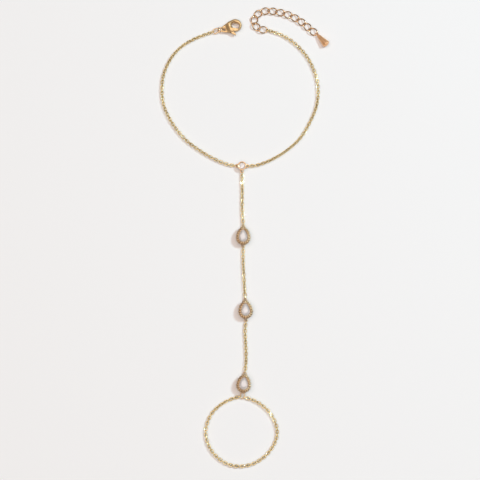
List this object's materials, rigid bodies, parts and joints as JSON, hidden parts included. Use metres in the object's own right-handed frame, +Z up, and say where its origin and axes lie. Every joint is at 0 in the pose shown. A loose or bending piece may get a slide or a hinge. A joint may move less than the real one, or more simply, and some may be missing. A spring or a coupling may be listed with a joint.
{
  "type": "hand chain bracelet",
  "caption": "Fine chain bracelet with a clasp and extender, joined by a drop chain with pear-cut stones in ridged settings to a chain loop for a finger; shown lying open and flat.",
  "frame": {"origin": "centre of the flat back of the round center bezel, on the surface on which the piece lies", "axes": "+Z up from that surface, +Y from the bezel towards the clasp, +X towards the side of the extender"},
  "size_m": [0.0571, 0.1553, 0.0027],
  "materials": {
    "gold": "polished",
    "drop_gold": "polished",
    "crystal": "polished"
  },
  "bodies": {
    "bracelet": {"center_bezel": "gold", "center_stone": "crystal", "pear_setting_upper": "gold", "pear_setting_middle": "gold", "pear_setting_lower": "gold", "pear_stone_upper": "crystal", "pear_stone_middle": "crystal", "pear_stone_lower": "crystal", "bracelet_chain_left": "gold", "bracelet_chain_right": "gold", "drop_chain_upper": "gold", "drop_chain_middle": "gold", "drop_chain_lower": "gold", "finger_loop_chain": "gold", "clasp_body": "gold", "clasp_ring": "gold", "tail_ring": "gold", "extender_chain": "gold", "end_drop": "drop_gold"},
    "lever": {"clasp_lever": "gold"}
  },
  "joints": [
    {"name": "clasp_lever_hinge", "type": "hinge", "parent": "bracelet", "child": "lever", "pos_m": [-0.00375, 0.04715, 0.00115], "axis": [0, 0, 1], "range_deg": [0, 25], "stiffness_Nm_per_rad": 0.004, "springref_deg": -5.73}
  ]
}
